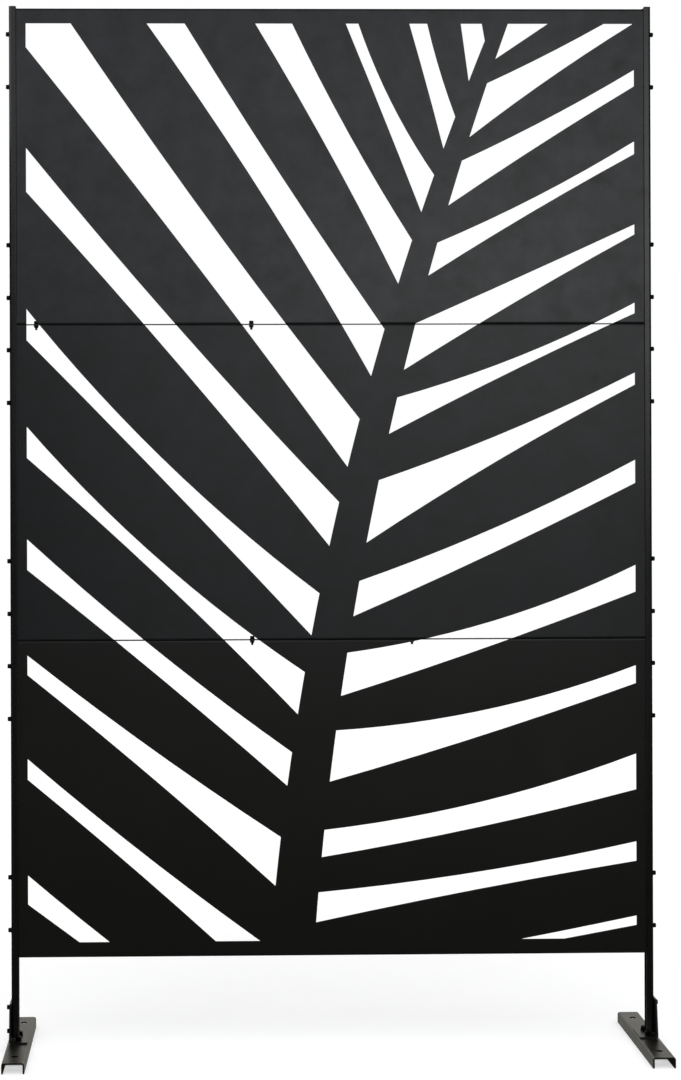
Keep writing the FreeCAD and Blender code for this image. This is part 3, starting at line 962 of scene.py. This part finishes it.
@dataclass
class PhotoCamera:
    """Camera at the photograph's place, with its axis held level by a shifted frame.

    Attributes:
        place: its place in metres.
        turn: rotation vector, in the frame's axes, from looking straight at the front.
        focal: focal length in pixels of the picture.
        axis_x: where the optical axis meets the picture, from its left edge in pixels.
        axis_y: the same from its upper edge.
        width: width of the picture.
        height: height of the picture.
        sensor: width of the sensor in millimetres.
    """

    place: Triple = (-0.283147, -3.789293, 1.127114)
    turn: Triple = (-0.00157598, -0.00304892, 0.0192315)
    focal: float = 1995.02
    axis_x: float = 221.04
    axis_y: float = 451.35
    width: float = 681.0
    height: float = 1080.0
    sensor: float = 36.0

    def build(self) -> None:
        """Makes the camera and gives it to the scene."""
        data = bpy.data.cameras.new("photo_camera")
        data.sensor_fit = "AUTO"
        data.sensor_width = self.sensor
        data.lens = self.focal * data.sensor_width / self.height
        data.shift_x = (self.width / 2 - self.axis_x) / self.height
        data.shift_y = (self.axis_y - self.height / 2) / self.height
        turn = Vector(self.turn)
        into_camera = Matrix.Rotation(turn.length, 3, turn.normalized())
        right, forward, up = into_camera[0], into_camera[1], into_camera[2]
        axes = Matrix((right, up, -forward)).transposed()
        camera = bpy.data.objects.new("photo_camera", data)
        camera.matrix_world = Matrix.Translation(self.place) @ axes.to_4x4()
        bpy.context.scene.collection.objects.link(camera)
        bpy.context.scene.camera = camera
        LOG.info("camera: lens %.2f mm", data.lens)


def disc(radius: float, level: float) -> Mesh:
    """Makes a level disc.

    Args:
        radius: its radius.
        level: its height.

    Returns:
        The mesh, which the caller frees.
    """
    mesh = bmesh.new()
    bmesh.ops.create_circle(mesh, cap_ends=True, segments=ROUND_STEPS, radius=radius)
    bmesh.ops.translate(mesh, vec=(0.0, 0.0, level), verts=mesh.verts)
    return mesh


def unit_square(mesh: Mesh) -> list[bmesh.types.BMVert]:
    """Adds a level square at the origin, one metre wide.

    Args:
        mesh: mesh that it is added to.

    Returns:
        Its corners.
    """
    return bmesh.ops.create_grid(mesh, x_segments=1, y_segments=1, size=0.5)["verts"]


@dataclass
class Floor:
    """Pale floor, which keeps the shadow of the screen, with painted shade deep inside the feet.

    Attributes:
        radius: its reach.
        level: its height, just under the feet.
        tone: its grey level.
        glow: light that lifts it to white for the eye and in reflections.
        lip: width over which the glow ends at the walls of a foot.
        dark_from: distance from a foot's end at which the glow inside it starts to fade.
        dark_to: distance at which it is gone.
    """

    radius: float = 9.0
    level: float = -0.0002
    tone: float = 0.50
    glow: float = 0.60
    lip: float = 0.003
    dark_from: float = 0.045
    dark_to: float = 0.075

    def build(self) -> None:
        """Lays the floor."""
        made = bpy.data.materials.new("studio_floor")
        graph = Graph(made)
        matt = graph.node("ShaderNodeBsdfDiffuse", {"Color": opaque((self.tone,) * 3)})
        strength = graph.reckon("MULTIPLY", graph.seen(), self.glow)
        # Painted shade: the glow is taken away by position deep inside the feet, where the floor
        # lies in the feet's shade.
        strength = graph.reckon("MULTIPLY", strength, self.glow_outside_painted_shade(graph))
        glow = graph.node("ShaderNodeEmission", {"Strength": strength})
        both = graph.node("ShaderNodeAddShader", {0: matt.outputs[0], 1: glow.outputs[0]})
        graph.finish("ShaderNodeOutputMaterial", both.outputs[0])
        new_piece("studio_floor", disc(self.radius, self.level), made)

    def glow_outside_painted_shade(self, graph: Graph) -> Socket:
        """Painted shade under the feet: where the floor keeps its glow, everywhere but deep inside
        the feet.

        Args:
            graph: node tree of the floor.

        Returns:
            The socket with 1 on open floor and 0 inside the feet.
        """
        low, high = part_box("right_foot")
        place = graph.object_place()
        across = graph.reckon("ABSOLUTE", graph.part(place, Axis.ACROSS))
        across = graph.reckon("SUBTRACT", across, (low[0] + high[0]) / 2)
        half = (high[0] - low[0]) / 2
        beside = graph.span(graph.reckon("ABSOLUTE", across), (half - self.lip, half))
        depth = graph.reckon("ABSOLUTE", graph.part(place, Axis.DEPTH))
        beyond = graph.span(depth, (high[1] - self.dark_to, high[1] - self.dark_from))
        return graph.reckon("MAXIMUM", beside, beyond)


@dataclass(frozen=True, kw_only=True)
class Flag:
    """Dark surface that only reflections show.

    Attributes:
        name: its name.
        tone: its grey level.
        far_tone: its grey level at the edge of the studio, where that differs.
        tint: its colour cast.
    """

    FADE: ClassVar[Range] = (0.5, 6.0)

    name: str
    tone: float
    far_tone: float | None = None
    tint: Colour = WHITE

    def shape(self) -> Mesh:
        """Makes the flag's surface, in place.

        Returns:
            The mesh, which the caller frees.
        """
        raise NotImplementedError

    def build(self) -> None:
        """Sets up the flag."""
        made = bpy.data.materials.new(self.name)
        graph = Graph(made)
        strength = self.tone
        if self.far_tone is not None:
            inputs = {0: graph.object_place()}
            away = graph.node("ShaderNodeVectorMath", inputs, operation="LENGTH").outputs["Value"]
            strength = graph.span(away, self.FADE, (self.tone, self.far_tone))
        glow = graph.node("ShaderNodeEmission", {"Color": opaque(self.tint), "Strength": strength})
        graph.finish("ShaderNodeOutputMaterial", glow.outputs[0])
        flag = new_piece(self.name, self.shape(), made)
        flag.visible_camera = False
        flag.visible_diffuse = False
        flag.visible_shadow = False
        flag.visible_transmission = False
        flag.visible_volume_scatter = False


@dataclass(frozen=True, kw_only=True)
class FloorFlag(Flag):
    """Level flag just above the floor.

    Attributes:
        outline: its corners, across and in depth.
        level: its height.
    """

    outline: Outline
    level: float = 0.0012

    def shape(self) -> Mesh:
        """Makes the flag's surface, in place.

        Returns:
            The mesh, which the caller frees.
        """
        mesh = bmesh.new()
        corners = [(across, depth, self.level) for across, depth in self.outline]
        mesh.faces.new([mesh.verts.new(corner) for corner in corners])
        return mesh


@dataclass(frozen=True, kw_only=True)
class OverheadFlag(Flag):
    """Round flag above the screen.

    Attributes:
        radius: its radius.
        level: its height.
    """

    radius: float
    level: float

    def shape(self) -> Mesh:
        """Makes the flag's surface, in place.

        Returns:
            The mesh, which the caller frees.
        """
        return disc(self.radius, self.level)


@dataclass(frozen=True, kw_only=True)
class Apron(Flag):
    """Two level strips, one along each side of a foot.

    Attributes:
        foot: name of the foot.
        wide: width of a strip.
        longer: how much longer than the foot it is.
        level: its height.
    """

    foot: str
    wide: float = 0.1
    longer: float = 0.2
    level: float = 0.0016

    def shape(self) -> Mesh:
        """Makes the flag's surface, in place.

        Returns:
            The mesh, which the caller frees.
        """
        low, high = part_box(self.foot)
        size = (self.wide, high[1] - low[1] + self.longer, 1.0)
        mesh = bmesh.new()
        for across in (low[0] - self.wide / 2, high[0] + self.wide / 2):
            strip = unit_square(mesh)
            bmesh.ops.scale(mesh, vec=size, verts=strip)
            bmesh.ops.translate(mesh, vec=(across, self.longer / 2, self.level), verts=strip)
        return mesh


@dataclass(frozen=True, kw_only=True)
class Card(Flag):
    """Upright flag that stands on the floor.

    Attributes:
        foot: where the middle of its lower edge stands, across and in depth.
        wide: its width.
        tall: its height.
        heading: turn round the upright axis in degrees; at 0 it faces the front.
    """

    foot: tuple[float, float]
    wide: float
    tall: float
    heading: float = 0.0

    def shape(self) -> Mesh:
        """Makes the flag's surface, in place.

        Returns:
            The mesh, which the caller frees.
        """
        mesh = bmesh.new()
        unit_square(mesh)
        bmesh.ops.scale(mesh, vec=(self.wide, self.tall, 1.0), verts=mesh.verts)
        heading = Matrix.Rotation(math.radians(self.heading), 3, "Z")
        upright = heading @ Matrix.Rotation(math.pi / 2, 3, "X")
        bmesh.ops.rotate(mesh, cent=ORIGIN, matrix=upright, verts=mesh.verts)
        bmesh.ops.translate(mesh, vec=(*self.foot, self.tall / 2), verts=mesh.verts)
        return mesh


@dataclass
class Surroundings:
    """Surroundings that are white to the eye and light the screen softly.

    Attributes:
        daylight: their strength as light on matt surfaces.
        front_light: colour of their light in front of the screen.
        back_light: colour of their light behind it.
        change: from where to where the colour changes, by the part of a direction that points back.
    """

    daylight: float = 0.45
    front_light: Colour = (0.955, 0.995, 1.09)
    back_light: Colour = (0.93, 0.905, 0.84)
    change: Range = (-0.2, 0.4)

    def build(self) -> None:
        """Makes the surroundings and gives them to the scene."""
        made = bpy.data.worlds.new("white_studio")
        bpy.context.scene.world = made
        graph = Graph(made)
        strength = graph.span(graph.seen(), (0.0, 1.0), (self.daylight, 1.0))
        eye = graph.node("ShaderNodeLightPath").outputs["Is Camera Ray"]
        heading = graph.node("ShaderNodeTexCoord").outputs["Generated"]
        behind = graph.span(graph.part(heading, Axis.DEPTH), self.change)
        light = graph.blend(behind, opaque(self.front_light), opaque(self.back_light))
        colour = graph.blend(eye, light, opaque(WHITE))
        sky = graph.node("ShaderNodeBackground", {"Color": colour, "Strength": strength})
        graph.finish("ShaderNodeOutputWorld", sky.outputs[0])


def hang(light: bpy.types.Light, place: Triple, target: Triple, reflected: bool) -> None:
    """Hangs a lamp and aims it.

    Args:
        light: the lamp.
        place: where it hangs.
        target: where it points.
        reflected: whether reflections show it.
    """
    lamp = bpy.data.objects.new(light.name, light)
    aim = Vector(target) - Vector(place)
    turn = aim.to_track_quat("-Z", "Y").to_matrix().to_4x4()
    lamp.matrix_world = Matrix.Translation(place) @ turn
    lamp.visible_camera = False
    lamp.visible_glossy = reflected
    bpy.context.scene.collection.objects.link(lamp)
    LOG.info("lamp %s", light.name)


@dataclass(frozen=True)
class OverheadLamp:
    """Broad soft lamp overhead, which reflections don't show.

    Attributes:
        energy: its strength.
        spread: angle in degrees from which its light comes.
        place: where it hangs.
        target: where it points.
    """

    energy: float = 1.6
    spread: float = 70.0
    place: Triple = (0.3, -1.0, 4.0)
    target: Triple = (0.0, 0.0, 1.0)

    def build(self) -> None:
        """Hangs the lamp."""
        light = bpy.data.lights.new("overhead", "SUN")
        light.energy = self.energy
        light.angle = math.radians(self.spread)
        hang(light, self.place, self.target, reflected=False)


@dataclass(frozen=True)
class SoftBox:
    """Rectangular soft lamp that reflections show.

    Attributes:
        name: its name.
        wide: its width.
        tall: its height.
        energy: its strength.
        place: where it hangs.
        target: where it points.
        colour: colour of its light.
    """

    name: str
    wide: float
    tall: float
    energy: float
    place: Triple
    target: Triple
    colour: Colour = WHITE

    def build(self) -> None:
        """Hangs the lamp."""
        light = bpy.data.lights.new(self.name, "AREA")
        light.shape = "RECTANGLE"
        light.size = self.wide
        light.size_y = self.tall
        light.energy = self.energy
        light.color = self.colour
        hang(light, self.place, self.target, reflected=True)


class Studio:
    """Pale floor, white surroundings, soft lamps and dark flags that only reflections show."""

    def build(self) -> None:
        """Makes the whole studio and sets the view's colour handling."""
        bpy.context.scene.view_settings.view_transform = "Standard"
        for item in (Floor(), *self.flags(), Surroundings(), *self.lamps()):
            item.build()

    def flags(self) -> list[Flag]:
        """Lists the flags.

        Returns:
            Those on the floor, overhead, on the horizon in front and beside the posts.
        """
        front = FloorFlag(
            name="front_floor_flag",
            outline=((-0.66, 0.16), (-3.6, -8.5), (4.7, -8.5), (0.66, 0.16)),
            tone=0.02,
            far_tone=0.15,
            tint=(1.0, 1.10, 0.80),
        )
        back = FloorFlag(
            name="back_floor_flag",
            outline=((-6.0, 0.2), (6.0, 0.2), (6.0, 8.0), (-6.0, 8.0)),
            tone=0.25,
            far_tone=0.95,
        )
        aprons = [
            Apron(name=f"{side}_apron", foot=f"{side}_foot", tone=0.46, tint=(1.0, 1.0, 0.92))
            for side in SIDES
        ]
        overhead = OverheadFlag(name="overhead_flag", radius=4.2, level=3.75, tone=0.02)
        cards = [
            Card(name="horizon_flag", foot=(0.7, -7.0), wide=9.0, tall=1.0, tone=0.03),
            Card(
                name="left_flag", foot=(-0.75, -0.03), wide=0.46, tall=1.75, heading=90.0, tone=0.04
            ),
            Card(name="left_front_flag", foot=(-1.10, -2.0), wide=0.9, tall=1.85, tone=0.01),
            Card(
                name="right_flag", foot=(0.75, -0.03), wide=0.46, tall=2.3, heading=90.0, tone=0.04
            ),
            Card(name="right_front_flag", foot=(1.80, -2.0), wide=0.9, tall=1.2, tone=0.02),
        ]
        return [front, back, *aprons, overhead, *cards]

    def lamps(self) -> list[OverheadLamp | SoftBox]:
        """Lists the lamps.

        Returns:
            The lamp overhead, a soft box to the front right and a strip light to the left.
        """
        soft_box = SoftBox(
            name="soft_box",
            wide=2.6,
            tall=1.3,
            energy=18.5,
            place=(1.45, -5.2, 2.15),
            target=(0.3, 0.0, 1.4),
            colour=(1.0, 1.0, 0.93),
        )
        left_strip = SoftBox(
            name="left_strip",
            wide=0.8,
            tall=1.2,
            energy=9.0,
            place=(-2.03, -2.65, 2.7),
            target=(-0.6, 0.0, 1.8),
        )
        return [OverheadLamp(), soft_box, left_strip]


def panel_roll(middle: float) -> RolledEdge:
    """Upper and lower edge of a panel, where the sheet rolls over into its flanges.

    Args:
        middle: height of the panel's middle.

    Returns:
        The pair of edges.
    """
    return RolledEdge(Axis.UP, middle, start=0.2958, end=0.2970)


def sheet_metal() -> SheetMetal:
    """Chooses the coats of the sheet-metal pieces; the panels' tones hold painted light.

    Returns:
        The pieces with their coats.
    """
    # Painted light: the panels' tones step from dark and olive on the bottom panel to lighter and
    # bluer on the top one, standing in for how the light falls down the screen.
    bottom = PowderCoat(
        "bottom_panel_coat",
        tone=(0.0051, 0.0058, 0.0036),
        middle=0.475,
        lean=-0.021,
        rolled=panel_roll(0.4755),
    )
    middle = PowderCoat(
        "middle_panel_coat",
        tone=(0.0068, 0.0075, 0.0088),
        middle=1.074,
        lean=-0.003,
        bow=0.048,
        rolled=panel_roll(1.0745),
    )
    top = PowderCoat(
        "top_panel_coat",
        tone=(0.0097, 0.0109, 0.0130),
        middle=1.673,
        lean=0.012,
        rolled=panel_roll(1.6735),
    )
    post = PowderCoat(
        "post_coat",
        tone=(0.0030, 0.0031, 0.0028),
        roughness=0.27,
        wave=0.0,
        rolled=RolledEdge(Axis.ACROSS, 0.0, start=0.5976, end=0.5962, slope=1.2),
    )
    foot = PowderCoat("foot_coat", roughness=0.35, wave=0.0, gleam=(0.97, 0.92, 0.83))
    panels = {"bottom": bottom, "middle": middle, "top": top}
    return SheetMetal(panel_coats=panels, post_coat=post, foot_coat=foot)


def plain(box: Iterable[Iterable[float]]) -> list[list[float]]:
    """Turns a box into plain lists of numbers.

    Args:
        box: its two corners.

    Returns:
        The corners as lists.
    """
    return [[float(number) for number in corner] for corner in box]


def main() -> None:
    """Builds the camera, the finishes, the fasteners and the studio."""
    logging.basicConfig(level=logging.INFO, format="%(name)s: %(message)s")
    PhotoCamera().build()
    sheet_metal().dress()
    Fastenings(
        bolt_finish=BlackenedSteel("blackened_bolts"),
        washer_finish=BlackenedSteel("blackened_washers", roughness=0.42),
        nut_finish=BlackenedSteel("blackened_nuts", roughness=0.40),
    ).build()
    Studio().build()


if __name__ == "__main__":
    main()
